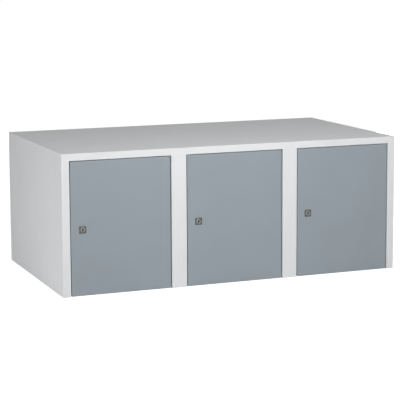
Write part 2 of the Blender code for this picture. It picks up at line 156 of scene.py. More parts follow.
def modify(piece, kind, **settings):
    """Adds a modifier to the piece and applies it."""
    take(piece)
    change = piece.modifiers.new("change", kind)
    for name, value in settings.items():
        setattr(change, name, value)
    bpy.ops.object.modifier_apply(modifier="change")


# %% [markdown]
# Nearly all of the unit is folded sheet. A press brake bends each sheet along straight lines,
# one leg after the other, with a small round inside each fold. The same is done here: a plane is
# the first leg, each further leg is extruded from the last edge, the fold lines are bevelled to
# the round of the tool, and Solidify gives the sheet its thickness on both sides of the middle.

# %% Folding a strip
fold_steps = 6
carcass_sheet = 0.001
carcass_fold = 0.0014


def folded_strip(name, corners, run, radius=carcass_fold, sheet=carcass_sheet):
    """Folds a strip: the corners of its middle surface, and the vector its folds run along."""
    corners = [Vector(corner) for corner in corners]
    run = Vector(run)
    leg = corners[1] - corners[0]
    axes = (leg.normalized(), run.normalized(), leg.cross(run).normalized())
    strip = add(
        bpy.ops.mesh.primitive_plane_add, name, (leg.length, run.length, 1), size=1,
        location=(corners[0] + corners[1] + run) / 2,
        rotation=Matrix(axes).transposed().to_euler(),
    )
    enter("EDIT")
    last_edge = corners[1] + run / 2
    pick("EDGE", lambda edge: (middle(edge) - last_edge).length < sheet / 10)
    for near, far in zip(corners[1:], corners[2:]):
        bpy.ops.mesh.extrude_region_move(TRANSFORM_OT_translate={"value": far - near})
    folds = bevel_edges(is_fold, radius - sheet / 2, fold_steps)
    enter("OBJECT")
    modify(strip, "SOLIDIFY", thickness=sheet, offset=0, use_even_offset=True)
    print(name, "folds:", folds)
    return strip


# %% [markdown]
# The doors, the floor and the back are pans: a face with four walls, and on the doors and the
# floor a lip turned in along each wall. The walls are extruded from the rim of a plane, and the
# lips from the rim of the walls, pulled in by the same width on every side.

# %% Folding a pan
def folded_pan(name, width, height, depth, lip, radius=carcass_fold, sheet=carcass_sheet):
    """Folds a pan with its face up at Z = 0 and its walls down."""
    outer = Vector((width - sheet, height - sheet, 1))
    pan = add(
        bpy.ops.mesh.primitive_plane_add, name, outer, size=1, location=(0, 0, -sheet / 2)
    )
    enter("EDIT")
    pick("EDGE", lambda edge: True)
    drop = depth - sheet if lip else depth - sheet / 2
    bpy.ops.mesh.extrude_edges_move(TRANSFORM_OT_translate={"value": (0, 0, -drop)})
    if lip:
        reach = 2 * lip - sheet
        bpy.ops.mesh.extrude_edges_move(TRANSFORM_OT_translate={"value": (0, 0, 0)})
        bpy.ops.transform.resize(
            value=(1 - reach / outer.x, 1 - reach / outer.y, 1), center_override=(0, 0, 0)
        )
    folds = bevel_edges(is_fold, radius - sheet / 2, fold_steps)
    bpy.ops.mesh.select_all(action="SELECT")
    bpy.ops.mesh.normals_make_consistent(inside=False)
    enter("OBJECT")
    modify(pan, "SOLIDIFY", thickness=sheet, offset=0, use_even_offset=True)
    print(name, "folds:", folds)
    return pan


# %% [markdown]
# Pins, washers, buffers and lock parts come off a lathe. A lathe part is made here from a circle
# that is extruded along its axis and resized at each step of the profile. Where the part has a
# bore, the profile runs back inside to its start and the two rings are merged.

# %% Turning a part
merge_distance = 0.000001


def turned(name, profile, sides, bored=False):
    """Turns a part about Z from its (radius, height) steps."""
    radius, height = profile[0]
    part = add(
        bpy.ops.mesh.primitive_circle_add, name, vertices=sides, radius=radius,
        location=(0, 0, height), fill_type="NOTHING" if bored else "NGON",
    )
    enter("EDIT")
    pick("EDGE" if bored else "FACE", lambda found: True)
    for (last_radius, last_height), (radius, height) in zip(profile, profile[1:]):
        ratio = radius / last_radius
        bpy.ops.mesh.extrude_region_move(
            TRANSFORM_OT_translate={"value": (0, 0, height - last_height)}
        )
        bpy.ops.transform.resize(value=(ratio, ratio, 1), center_override=(0, 0, height))
    bpy.ops.mesh.select_all(action="SELECT")
    bpy.ops.mesh.remove_doubles(threshold=merge_distance)
    bpy.ops.mesh.normals_make_consistent(inside=False)
    enter("OBJECT")
    return part


# %% [markdown]
# Holes, notches and trimmed ends are cut with simple shapes, as a punch would cut them. Each
# punch is a primitive in its place, and an exact Boolean takes it away from the sheet.

# %% Punching and placing
def cut_away(piece, *punches, operation="DIFFERENCE"):
    """Applies the punches to the piece with a Boolean and removes them."""
    for punch in punches:
        modify(piece, "BOOLEAN", operation=operation, solver="EXACT", object=punch)
        bpy.data.objects.remove(punch, do_unlink=True)


def block(first, second, name="block"):
    """A box between two opposite corners."""
    first, second = Vector(first), Vector(second)
    spread = [abs(length) for length in second - first]
    return add(
        bpy.ops.mesh.primitive_cube_add, name, spread, size=1, location=(first + second) / 2
    )


def rod(place, radius, length, turn=(0, 0, 0), sides=32, name="rod"):
    """A round bar about a place, along Z unless it is turned."""
    return add(
        bpy.ops.mesh.primitive_cylinder_add, name, vertices=sides, radius=radius,
        depth=length, location=place, rotation=turn,
    )


def place_at(piece, place, turn=(0, 0, 0)):
    """Turns and moves a piece, and applies both to its mesh."""
    take(piece)
    piece.rotation_euler = turn
    piece.location = place
    bpy.ops.object.transform_apply()


# %% [markdown]
# A flat sheet must look flat right up to its folds. The folds are shaded smooth by angle, and
# Weighted Normal lets the large faces decide the shading where they meet the narrow round ones.
# Each finished piece then takes its finish, rides on its body and stands for its solid, and the
# largest distance between its box and the solid's is printed as a check. What repeats is copied
# along the unit, each copy with its own mesh.

# %% Shading a piece and putting it in the frame
smooth_angle = math.radians(38)
lock_pitch = 0.300


def settle(piece, solid, finish, body="carcass"):
    """Smooths the piece, gives it its finish and lets it stand for a solid of the frame."""
    take(piece)
    bpy.ops.object.shade_smooth_by_angle(angle=smooth_angle)
    modify(piece, "WEIGHTED_NORMAL", keep_sharp=True)
    piece.data.materials.clear()
    piece.data.materials.append(finish)
    low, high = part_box(solid)
    gaps = (*(Vector(piece.bound_box[0]) - low), *(Vector(piece.bound_box[6]) - high))
    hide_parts(solid)
    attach(piece, body)
    print(piece.name, "for", solid, "within", round(max(map(abs, gaps)) * 1000, 2), "mm")


def settle_row(first, stem, finish, body="carcass", count=3):
    """Copies a piece named ..._1 along the unit, and settles all on one body or three."""
    row = [first]
    for number in range(2, count + 1):
        take(first)
        bpy.ops.object.duplicate(linked=False)
        copied = bpy.context.object
        copied.name = first.name[:-1] + str(number)
        copied.data.name = copied.name
        place_at(copied, ((number - 1) * lock_pitch, 0, 0))
        row.append(copied)
    for number, piece in enumerate(row, 1):
        own_body = body + str(number) if body.endswith("_") else body
        settle(piece, stem + str(number), finish, own_body)


# %% [markdown]
# The floor and the backdrop are plain white. The world lights the unit evenly from all sides, and
# is white where the camera or a gloss reflection sees it. The floor is a large pale sheet that
# glows faintly for the camera, so it meets the backdrop without a line and keeps the soft shadow.

# %% Nodes, floor and backdrop
def node(owner, kind, values=None, **settings):
    """Adds a node: a value that is a socket is linked, any other is set on the node."""
    made = owner.node_tree.nodes.new("ShaderNode" + kind)
    for name, value in settings.items():
        setattr(made, name, value)
    for socket, value in (values or {}).items():
        if isinstance(value, bpy.types.NodeSocket):
            owner.node_tree.links.new(value, made.inputs[socket])
        else:
            made.inputs[socket].default_value = value
    return made


def maths(owner, operation, *values):
    return node(owner, "Math", dict(enumerate(values)), operation=operation).outputs[0]


def between(owner, value, low, high, start=0.3, end=0.7):
    """Spreads a value over a range. A noise stays near one half, hence the defaults."""
    return node(
        owner, "MapRange",
        {"Value": value, "From Min": start, "From Max": end, "To Min": low, "To Max": high},
    ).outputs["Result"]


def seen_directly(owner):
    """One for camera, gloss and glass rays, and zero for the light that falls on things."""
    path = node(owner, "LightPath").outputs
    seen = maths(owner, "MAXIMUM", path["Is Camera Ray"], path["Is Glossy Ray"])
    return maths(owner, "MAXIMUM", seen, path["Is Transmission Ray"])


world_level = 0.15
floor_colour = (0.80, 0.80, 0.80, 1)
floor_glow = 0.90
floor_size = 60
floor_drop = 0.0004

studio = bpy.data.worlds.new("white_studio")
bpy.context.scene.world = studio
studio.use_nodes = True
strength = between(studio, seen_directly(studio), world_level, 1, 0, 1)
backdrop = studio.node_tree.nodes["Background"]
backdrop.inputs["Color"].default_value = (1, 1, 1, 1)
studio.node_tree.links.new(strength, backdrop.inputs["Strength"])

floor = add(
    bpy.ops.mesh.primitive_plane_add, "studio_floor", size=floor_size,
    location=(0, 0, -floor_drop),
)
floor_finish = bpy.data.materials.new("white_floor")
floor_finish.use_nodes = True
floor_finish.node_tree.nodes.clear()
matt = node(floor_finish, "BsdfDiffuse", {"Color": floor_colour})
glow = maths(floor_finish, "MULTIPLY", seen_directly(floor_finish), floor_glow)
lit = node(floor_finish, "Emission", {"Color": (1, 1, 1, 1), "Strength": glow})
both = node(floor_finish, "AddShader", {0: matt.outputs[0], 1: lit.outputs[0]})
node(floor_finish, "OutputMaterial", {"Surface": both.outputs[0]})
floor.data.materials.append(floor_finish)
print("world level:", world_level)

# %% [markdown]
# Soft boxes do the rest. A near one above the front makes the frame brightest at its middle, and
# a wide one farther off evens out the doors. A small one close to the left side brightens it
# towards the front, and low ones at the right and behind light those faces. None shines straight
# down, so the top stays the darkest face, as in the picture.

# %% Soft boxes
def soft_box(name, place, target, width, height, power):
    lamp = bpy.data.lights.new(name, "AREA")
    lamp.shape = "RECTANGLE"
    lamp.size = width
    lamp.size_y = height
    lamp.energy = power
    made = bpy.data.objects.new(name, lamp)
    bpy.context.scene.collection.objects.link(made)
    made.location = place
    made.rotation_euler = (Vector(target) - Vector(place)).to_track_quat("-Z", "Y").to_euler()


soft_box("near_box", (-0.03, -1.45, 1.08), (0, -0.25, 0.2), 0.9, 0.8, 15.5)
soft_box("wide_box", (-0.6, -4.0, 1.2), (0, 0, 0.2), 3.0, 1.8, 12.5)
soft_box("left_box", (-1.6, -0.42, 0.25), (-0.45, -0.05, 0.12), 0.7, 0.5, 5.6)
soft_box("right_box", (2.3, 0.25, 0.22), (0.45, 0, 0.17), 0.9, 0.5, 12)
soft_box("back_box", (1.2, 2.8, 0.18), (0.1, 0.2, 0.17), 2.4, 0.3, 26)
print("soft boxes:", [lamp.name for lamp in bpy.data.lights])

# %% [markdown]
# The sheets are powder coated. Powder melts to a satin skin with a fine orange peel, small
# specks and slight clouds in its colour, and it runs thin over sharp folds. The clouds, the peel
# and the grain are noises at their real sizes on Object coordinates, and a Bevel node finds the
# edges where the skin is thin.


def new_finish(name):
    finish = bpy.data.materials.new(name)
    finish.use_nodes = True
    return finish


def shader_of(finish):
    return finish.node_tree.nodes["Principled BSDF"]


def plug_in(finish, output, socket):
    finish.node_tree.links.new(output, shader_of(finish).inputs[socket])


def own_place(finish):
    return node(finish, "TexCoord").outputs["Object"]


def stretched(finish, place, share):
    """The place with its height scaled, so that a noise lies flat or stands up."""
    return node(finish, "Mapping", {"Vector": place, "Scale": (1, 1, share)}).outputs[0]


def noise(finish, place, scale, detail):
    return node(
        finish, "TexNoise",
        {"Vector": place, "Scale": scale, "Detail": detail, "Roughness": 0.55},
    ).outputs["Fac"]


def mixed(finish, factor, first, second):
    mix = node(finish, "Mix", {0: factor, 6: first, 7: second}, data_type="RGBA")
    return mix.outputs[2]


def bumped(finish, height, distance, strength, normal=None):
    values = {"Height": height, "Distance": distance, "Strength": strength}
    if normal:
        values["Normal"] = normal
    return node(finish, "Bump", values).outputs["Normal"]


def times(finish, first, second):
    return maths(finish, "MULTIPLY", first, second)


edge_reach = 0.0012
edge_break_scale = 240


def near_edges(finish, place):
    """One at sharp edges and zero on flat faces, broken up by a noise."""
    rounded = node(finish, "Bevel", {"Radius": edge_reach}, samples=4).outputs[0]
    facing = node(finish, "NewGeometry").outputs["Normal"]
    alike = node(
        finish, "VectorMath", {0: rounded, 1: facing}, operation="DOT_PRODUCT"
    ).outputs["Value"]
    edge = between(finish, alike, 1, 0, 0.80, 0.985)
    broken = between(finish, noise(finish, place, edge_break_scale, 4), 0, 1)
    return times(finish, edge, broken)


cloud_scale = 11
cloud_share = 0.028
speck_scale = 2400
speck_strength = 0.10
thin_strength = 0.45
peel_scale = 700
peel_height = 0.00005
grain_scale = 2900
grain_height = 0.00002
wave_scale = 9
wave_height = 0.0006


def powder_coat(name, colour, worn, roughness):
    coat = new_finish(name)
    place = own_place(coat)
    colour = Vector(colour)
    clouds = between(coat, noise(coat, place, cloud_scale, 4), 0.2, 0.8)
    body = mixed(
        coat, clouds, (*(colour * (1 - cloud_share)), 1), (*(colour * (1 + cloud_share)), 1)
    )
    specks = between(coat, noise(coat, place, speck_scale, 1), 0, 1, 0.62, 0.72)
    body = mixed(coat, times(coat, specks, speck_strength), body, (*(colour * 0.6), 1))
    thin = times(coat, near_edges(coat, place), thin_strength)
    plug_in(coat, mixed(coat, thin, body, (*worn, 1)), "Base Color")
    peel = noise(coat, place, peel_scale, 2)
    plug_in(coat, between(coat, peel, roughness - 0.04, roughness + 0.05), "Roughness")
    skin = bumped(coat, peel, peel_height, 0.5)
    skin = bumped(coat, noise(coat, place, grain_scale, 1), grain_height, 0.45, skin)
    waves = noise(coat, stretched(coat, place, 0.35), wave_scale, 1)
    plug_in(coat, bumped(coat, waves, wave_height, 0.35, skin), "Normal")
    shader_of(coat).inputs["Specular IOR Level"].default_value = 0.42
    return coat


light_grey = powder_coat(
    "light_grey_coat", (0.76, 0.772, 0.782), (0.84, 0.845, 0.85), 0.52
)
blue_grey = powder_coat(
    "blue_grey_coat", (0.285, 0.325, 0.357), (0.36, 0.40, 0.43), 0.50
)

# %% [markdown]
# The small parts are plated or moulded. Zinc plating has cloudy crystals and fine scratches, the
# die-cast lock body is a dark satin metal, and the key plug is plated with nickel. The nylon and
# the rubber are slightly cloudy and matt.

# %% Plating, nylon and rubber
def cloudy(name, first, second, roughness, spread, scale, detail, finer):
    """A finish whose colour and gloss both change in clouds."""
    finish = new_finish(name)
    place = own_place(finish)
    clouds = between(finish, noise(finish, place, scale, detail), 0, 1)
    plug_in(finish, mixed(finish, clouds, (*first, 1), (*second, 1)), "Base Color")
    gloss = noise(finish, place, scale * finer, detail - 1)
    plug_in(finish, between(finish, gloss, roughness - spread, roughness + spread), "Roughness")
    return finish, place


def metal(name, colour, dull, roughness, spread, scale):
    plated, place = cloudy(name, colour, dull, roughness, spread, scale, 4, 3)
    shader_of(plated).inputs["Metallic"].default_value = 1
    scratches = noise(plated, stretched(plated, place, 9), scale * 6, 3)
    plug_in(plated, bumped(plated, scratches, 0.00003, 0.4), "Normal")
    return plated


def moulded(name, colour, roughness, scale):
    darker = Vector(colour) * 0.86
    part, place = cloudy(name, darker, colour, roughness, 0.07, scale, 3, 4)
    plug_in(part, bumped(part, noise(part, place, scale * 8, 2), 0.00004, 0.5), "Normal")
    return part


zinc = metal(
    "zinc_plating", (0.66, 0.67, 0.66), (0.52, 0.53, 0.53), 0.34, 0.08, 260
)
lock_metal = metal(
    "dark_lock_coat", (0.125, 0.135, 0.142), (0.082, 0.083, 0.078),
    0.34, 0.08, 420,
)
nickel = metal(
    "nickel_plating", (0.29, 0.27, 0.245), (0.20, 0.185, 0.165), 0.30, 0.06, 500
)
nylon = moulded("white_nylon_moulding", (0.80, 0.80, 0.75), 0.5, 300)
black_rubber = moulded("black_rubber_moulding", (0.028, 0.028, 0.03), 0.78, 380)

# %% [markdown]
# A lathe leaves fine rings on the face of the key plug, and the inside of its key slot is painted
# nearly black: painted shade in the recess, with some grease. The locks stand 300 mm apart, so
# the rings wrap X every 300 mm and are centred on all three. The slot is told from the face by
# its depth.

# %% Turned rings and the painted shade in the key slot
def centre(solid):
    low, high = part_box(solid)
    return (low + high) / 2


lock_height = 0.164
lock_x = centre("lock_cylinder_1").x
plug_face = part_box("lock_cylinder_1")[0].y
slot_depth = 0.012
ring_pitch = 0.0005
ring_height = 0.000012
painted_slot_shade = (0.018, 0.016, 0.014, 1)

along = node(nickel, "SeparateXYZ", {0: own_place(nickel)}).outputs
wrapped = maths(nickel, "WRAP", along["X"], lock_x + lock_pitch / 2, lock_x - lock_pitch / 2)
across = node(nickel, "CombineXYZ", {"X": wrapped, "Z": along["Z"]}).outputs[0]
distance = node(
    nickel, "VectorMath", {0: across, 1: (lock_x, 0, lock_height)}, operation="DISTANCE"
).outputs["Value"]
turns = times(nickel, distance, 2 * math.pi / ring_pitch)
rings = maths(nickel, "SINE", turns)
plug_in(nickel, bumped(nickel, rings, ring_height, 0.6), "Normal")
# Deeper than the plug's face, the colour goes nearly black: painted shade inside the key slot,
# with some grease.
depth = maths(nickel, "ADD", along["Y"], -plug_face)
inside = times(
    nickel, between(nickel, depth, 0, 1, 0.0002, 0.0006),
    between(nickel, depth, 1, 0, slot_depth, slot_depth + 0.001),
)
bright = shader_of(nickel).inputs["Base Color"].links[0].from_socket
plug_in(nickel, mixed(nickel, inside, bright, painted_slot_shade), "Base Color")
print("lock axis at", round(lock_x, 4), "with rings every", ring_pitch * 1000, "mm")

# %% [markdown]
# The frame gives the places, and the side panels give the front, the back and the height. The
# sheet work has stiles of 20 mm, mullions of 40 mm, a rail of 18 mm and a rebate for the doors.

# %% Sizes of the carcass
side_low, side_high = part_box("side_panel_left")
front_plane = side_low.y
back_plane = side_high.y
half_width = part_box("side_panel_right")[1].x
unit_height = side_high.z
half_sheet = carcass_sheet / 2
face_middle = front_plane + half_sheet
fit_gap = 0.0003
weld_gap = 0.00005
overrun = 0.004
stile_width = 0.020
mullion_width = 0.040
rail_height = 0.018
stop_width = 0.008
opening_top = unit_height - rail_height
rebate_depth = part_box("mullion_1")[1].y - carcass_sheet - front_plane
stop_middle = front_plane + rebate_depth + half_sheet
stop_rear = front_plane + rebate_depth + carcass_sheet
opening_lefts = [stile_width - half_width + n * lock_pitch for n in range(3)]
mullion_middles = [left - mullion_width / 2 for left in opening_lefts[1:]]
sizes = (2 * half_width, back_plane - front_plane, unit_height, rebate_depth)
print("width, depth, height, rebate:", [round(size * 1000, 1) for size in sizes], "mm")

# %% [markdown]
# The sheets are joined by spot welds, whose small dished marks show near the bottom and rear
# edges. A flattened sphere presses each of them. Where the top sheet and the front meet, the
# corner is ground to the round of the fold, and a punch of that form trims it.

# %% Spot weld marks and the rounded corner
weld_radius = 0.0026
weld_depth = 0.00014
weld_inset = 0.0075
weld_rows = (0.05, 0.13, 0.21, 0.29)
weld_columns = [step / 10 for step in range(-4, 5)]


def weld_marks(piece, places, turn=(quarter, 0, 0)):
    """Presses shallow dished marks into faces that look along Y, unless it is turned."""
    for place in places:
        dish = add(
            bpy.ops.mesh.primitive_uv_sphere_add, "dish", (weld_radius, weld_radius, weld_depth),
            segments=18, ring_count=9, radius=1, location=place, rotation=turn,
        )
        cut_away(piece, dish)


def corner_punch(start, end):
    """What lies outside the round of the fold between the top and the front."""
    fold_y = front_plane + carcass_fold
    fold_z = unit_height - carcass_fold
    punch = block((start, front_plane - overrun, fold_z), (end, fold_y, unit_height + overrun))
    cut_away(punch, rod(
        ((start + end) / 2, fold_y, fold_z), carcass_fold, abs(end - start) + overrun,
        (0, quarter, 0), 48,
    ))
    return punch


# %% [markdown]
# Each side is one sheet: the skin, the front stile, a return along the door and the stop flange
# that the door shuts against. Folding the stile from the same sheet as the side gives the front
# edge its soft round. The return ends under the rail, and the top corner follows the top's fold.

# %% Side sheets
buffer_inset = 0.0045
buffer_neck = 0.0015
buffer_heights = {end: centre(end + "_buffer_1").z for end in ("lower", "upper")}
side_weld_places = (0.06, 0.18, 0.30, 0.42)


def neck_holes(x):
    return [
        rod((x, stop_middle, height), buffer_neck + fit_gap, 3 * overrun, (quarter, 0, 0), 24)
        for height in buffer_heights.values()
    ]


def side_sheet(name, outward):
    skin = outward * (half_width - half_sheet)
    inner = outward * (half_width - stile_width + half_sheet)
    stop = outward * (half_width - stile_width - stop_width)
    sheet = folded_strip(
        name,
        [(skin, back_plane, 0), (skin, face_middle, 0),
         (inner, face_middle, 0), (inner, stop_middle, 0), (stop, stop_middle, 0)],
        (0, 0, unit_height),
    )
    near = outward * (half_width - carcass_sheet - 2 * fit_gap)
    far = stop - outward * overrun
    cut_away(
        sheet,
        block((near, front_plane + carcass_sheet + fit_gap, opening_top - 2 * fit_gap),
              (far, stop_rear + overrun, unit_height + overrun)),
        corner_punch(outward * (half_width + overrun), far),
    )
    return sheet


for name, side in (("left", -1), ("right", 1)):
    sheet = side_sheet("side_sheet_" + name, side)
    if name == "left":
        cut_away(sheet, *neck_holes(opening_lefts[0] + buffer_inset))
    skin = side * half_width
    places = [(skin, front_plane + y, weld_inset) for y in side_weld_places]
    places += [(skin, back_plane - weld_inset, z) for z in weld_rows]
    weld_marks(sheet, places, (0, quarter, 0))
    settle(sheet, "side_panel_" + name, light_grey)

# %% [markdown]
# The top is the longest strip: a flange down the back, the skin, the rail over the doors, a
# return and a stop flange. The rail's ends lie on the rounds of the stiles, where they are welded
# and ground flush, so only a hair of a joint is left. Three holes take the upper hinge pins.

# %% Top sheet
top_rear_flange = 0.012
top_weld_drop = 0.0062
hinge_xs = [centre("lower_hinge_pin_" + str(number)).x for number in (1, 2, 3)]
hinge_y = centre("lower_hinge_pin_1").y
pin_radius = 0.002
top_half = half_width - carcass_sheet - weld_gap


def pin_hole(x, z):
    return rod((x, hinge_y, z), pin_radius + fit_gap, 3 * overrun)


top_sheet = folded_strip(
    "top_sheet",
    [(-top_half, back_plane - half_sheet, unit_height - top_rear_flange),
     (-top_half, back_plane - half_sheet, unit_height - half_sheet),
     (-top_half, face_middle, unit_height - half_sheet),
     (-top_half, face_middle, opening_top + half_sheet),
     (-top_half, stop_middle, opening_top + half_sheet),
     (-top_half, stop_middle, opening_top - stop_width)],
    (2 * top_half, 0, 0),
)


def flange_punch(start, end):
    """What has to go from the rail's stop flange to make room for an upright one."""
    return block((start, stop_middle - overrun, opening_top - stop_width - overrun),
                 (end, stop_rear + overrun, opening_top - fit_gap))


for side in (-1, 1):
    inner = side * (half_width - stile_width + carcass_fold - weld_gap)
    outer = side * (half_width + overrun)
    cut_away(
        top_sheet,
        block((inner, front_plane - overrun, opening_top - overrun),
              (outer, front_plane + carcass_sheet + 2 * fit_gap, unit_height + overrun)),
        flange_punch(side * (half_width - stile_width - stop_width - fit_gap), outer),
    )
for x in mullion_middles:
    reach = mullion_width / 2 + stop_width + fit_gap
    cut_away(top_sheet, flange_punch(x - reach, x + reach))
cut_away(top_sheet, *[pin_hole(x, opening_top) for x in hinge_xs])
weld_marks(top_sheet, [(x, back_plane, unit_height - top_weld_drop) for x in weld_columns])
settle(top_sheet, "top_panel", light_grey)

# %% [markdown]
# The mullions between the doors are hat sections: a 40 mm face, a return on each side and a stop
# flange on each. Both are the same, so one is folded and copied. Only the face runs up over the
# round of the rail, and is welded and ground flush there. The rest ends under the rail.

# %% Mullions
wall = mullion_width / 2 - half_sheet
lip = mullion_width / 2 + stop_width
first_middle = mullion_middles[0]
mullion = folded_strip(
    "mullion_sheet_1",
    [(first_middle - lip, stop_middle, 0), (first_middle - wall, stop_middle, 0),
     (first_middle - wall, face_middle, 0),
     (first_middle + wall, face_middle, 0),
     (first_middle + wall, stop_middle, 0), (first_middle + lip, stop_middle, 0)],
    (0, 0, opening_top + carcass_fold - weld_gap),
)
cut_away(
    mullion, *neck_holes(opening_lefts[1] + buffer_inset),
    block((first_middle - lip - overrun, front_plane + carcass_sheet + fit_gap,
           opening_top - weld_gap),
          (first_middle + lip + overrun, stop_rear + overrun, opening_top + overrun)),
)
settle_row(mullion, "mullion_", light_grey, count=2)

# %% [markdown]
# The floor is a pan turned over. Its lips are what the unit stands on, and its upper face is the
# bottom of the compartments. The back is a shallow pan with its flanges to the front, seated on
# the floor and under the top. Each is folded about the origin and then put in its place.

# %% Floor pan and back pan
floor_height = 0.015
floor_lip = 0.014
floor_weld_height = 0.0078
back_flange = 0.012
floor_front = stop_rear + fit_gap
floor_depth = back_plane - floor_front
inner_width = 2 * (half_width - carcass_sheet - fit_gap)
floor_pan = folded_pan("floor_pan", inner_width, floor_depth, floor_height, floor_lip)
place_at(floor_pan, (0, floor_front + floor_depth / 2, floor_height))
weld_marks(floor_pan, [(x, back_plane, floor_weld_height) for x in weld_columns])
settle(floor_pan, "bottom_panel", light_grey)

back_inset = carcass_sheet + fit_gap
back_bottom = floor_height + fit_gap
back_height = unit_height - carcass_sheet - fit_gap - back_bottom
back_pan = folded_pan("back_pan", inner_width, back_height, back_flange, 0)
place_at(
    back_pan, (0, back_plane - back_inset, back_bottom + back_height / 2), (-quarter, 0, 0)
)
weld_marks(
    back_pan, [(x, back_plane - back_inset, z) for x in mullion_middles for z in weld_rows]
)
settle(back_pan, "back_panel", light_grey)

# %% [markdown]
# Behind each mullion a folded sheet parts the compartments. Its front flange is welded to the
# mullion's stop flange and its rear flange to the back, and both show the marks of the welder.
# The front flange turns to the hinge side, away from the next door's lock.

# %% Partitions
partition_front_flange = 0.024
partition_rear_flange = 0.014
front_weld_step = 0.016
rear_weld_step = 0.008
partition_bottom = back_bottom + carcass_fold + fit_gap
partition_top = back_bottom + back_height - carcass_fold - fit_gap
partition_front = stop_rear + fit_gap + half_sheet
partition_rear = back_plane - back_inset - carcass_sheet - fit_gap - half_sheet
partition = folded_strip(
    "partition_sheet_1",
    [(first_middle - partition_front_flange, partition_front, partition_bottom),
     (first_middle, partition_front, partition_bottom),
     (first_middle, partition_rear, partition_bottom),
     (first_middle + partition_rear_flange, partition_rear, partition_bottom)],
    (0, 0, partition_top - partition_bottom),
)
weld_marks(
    partition,
    [(first_middle - front_weld_step, partition_front + half_sheet, z) for z in weld_rows]
    + [(first_middle + rear_weld_step, partition_rear - half_sheet, z) for z in weld_rows],
)
settle_row(partition, "partition_", light_grey, count=2)

# %% [markdown]
# A rubber buffer sits at the top and the bottom of each stop flange on the lock side. Its head
# has a soft rounded rim that the door lands on, and a barbed neck pushed through the flange
# holds it. One for each height is turned, laid on its back and copied.

# %% Rubber buffers
buffer_radius = 0.003
buffer_top = fit_gap + 0.0044
buffer_barb = 0.0021
neck_end = -fit_gap - carcass_sheet
neck_length = 0.003
buffer_profile = [
    (0.0007, buffer_top), (0.0016, buffer_top - 0.00006), (0.0023, buffer_top - 0.0003),
    (0.0027, buffer_top - 0.0007), (0.0029, buffer_top - 0.0013),
    (buffer_radius, fit_gap + 0.0012), (0.00292, fit_gap + 0.0003), (0.0026, fit_gap),
    (buffer_neck, fit_gap), (buffer_neck, neck_end), (buffer_barb, neck_end),
    (buffer_barb - 0.0001, neck_end - 0.0006), (buffer_neck, neck_end - neck_length),
    (0.0010, neck_end - neck_length),
]
for end, height in buffer_heights.items():
    rubber = turned("rubber_buffer_" + end + "_1", buffer_profile, 32)
    place_at(
        rubber, (opening_lefts[0] + buffer_inset, front_plane + rebate_depth, height),
        (quarter, 0, 0),
    )
    settle_row(rubber, end + "_buffer_", black_rubber)

# %% [markdown]
# The lower hinge bracket is a folded lug of 2 mm steel on the front wall of the floor. Its nose
# is rounded about the pin hole, so the door's plate can swing over it.

# %% Hinge brackets
lug_low, lug_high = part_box("hinge_bracket_1")
plate_sheet = 0.002
plate_fold = 0.003
nose_radius = 0.0027


def folded_plate(name, low, high, start, leg):
    """Folds a level plate, which starts and ends at two places in Y, with a leg upward."""
    level = low.z + plate_sheet / 2
    return folded_strip(
        name, [(low.x, start, level), (low.x, leg, level), (low.x, leg, high.z)],
        (high.x - low.x, 0, 0), plate_fold, plate_sheet,
    )


def is_upright(edge):
    return abs(edge.verts[0].co.z - edge.verts[1].co.z) > plate_sheet / 2


def is_nose_edge(edge):
    return middle(edge).y < lug_low.y + fit_gap and is_upright(edge) and is_fold(edge)


lug = folded_plate(
    "hinge_lug_1", lug_low, lug_high, lug_low.y, lug_high.y - plate_sheet / 2
)
print("rounded edges:", bevel_piece(lug, is_nose_edge, nose_radius, 8))
cut_away(lug, pin_hole(hinge_xs[0], lug_low.z))
settle_row(lug, "hinge_bracket_", light_grey)

# %% [markdown]
# Each door is a pan of 1 mm sheet, 15 mm deep, with a lip along every edge. The lips of a real
# pan are cut at 45 degrees and leave a fine slit in each corner. There is a hole for the lock, a
# hole for the upper pin, and a notch that the lower bracket passes through. All the parts of the
# first door are made before any is copied.

# %% Door pan
door_low, door_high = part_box("door_panel_1")
door_sheet = 0.001
door_fold = 0.0018
door_lip = 0.012
door_depth = door_high.y - door_low.y
door_width = door_high.x - door_low.x
door_height = door_high.z - door_low.z
door_inner = front_plane + door_sheet
barrel_radius = 0.008
slit = 0.0004
slit_length = 0.020
slit_inset = 0.0025
slit_start = 0.002
notch_space = 0.0012

door_pan = folded_pan(
    "door_pan_1", door_width, door_height, door_depth, door_lip, door_fold, door_sheet
)
door_middle = centre("door_panel_1")
place_at(door_pan, (door_middle.x, front_plane, door_middle.z), (quarter, 0, 0))
for x, across in ((door_low.x, 1), (door_high.x, -1)):
    for z, upward in ((door_low.z, 1), (door_high.z, -1)):
        start = (x + across * slit_inset, door_high.y - slit_start, z + upward * slit_inset)
        punch = block((-slit / 2, 0, 0), (slit / 2, slit_start + overrun, slit_length))
        place_at(punch, start, (0, math.atan2(across, upward), 0))
        cut_away(door_pan, punch)
notch_reach = (lug_high.x - lug_low.x) / 2 + notch_space
cut_away(
    door_pan,
    rod((lock_x, door_inner, lock_height), barrel_radius + fit_gap, 3 * overrun,
        (quarter, 0, 0), 48),
    pin_hole(hinge_xs[0], door_high.z),
    block((hinge_xs[0] - notch_reach, door_inner + 0.0001, door_low.z + door_fold + fit_gap),
          (door_high.x + overrun, door_high.y + overrun, lug_high.z + notch_space)),
)

# %% [markdown]
# A hat section behind the door's front keeps the sheet from drumming. It is spot welded on both
# flanges, and the marks show on the inside of the open door.

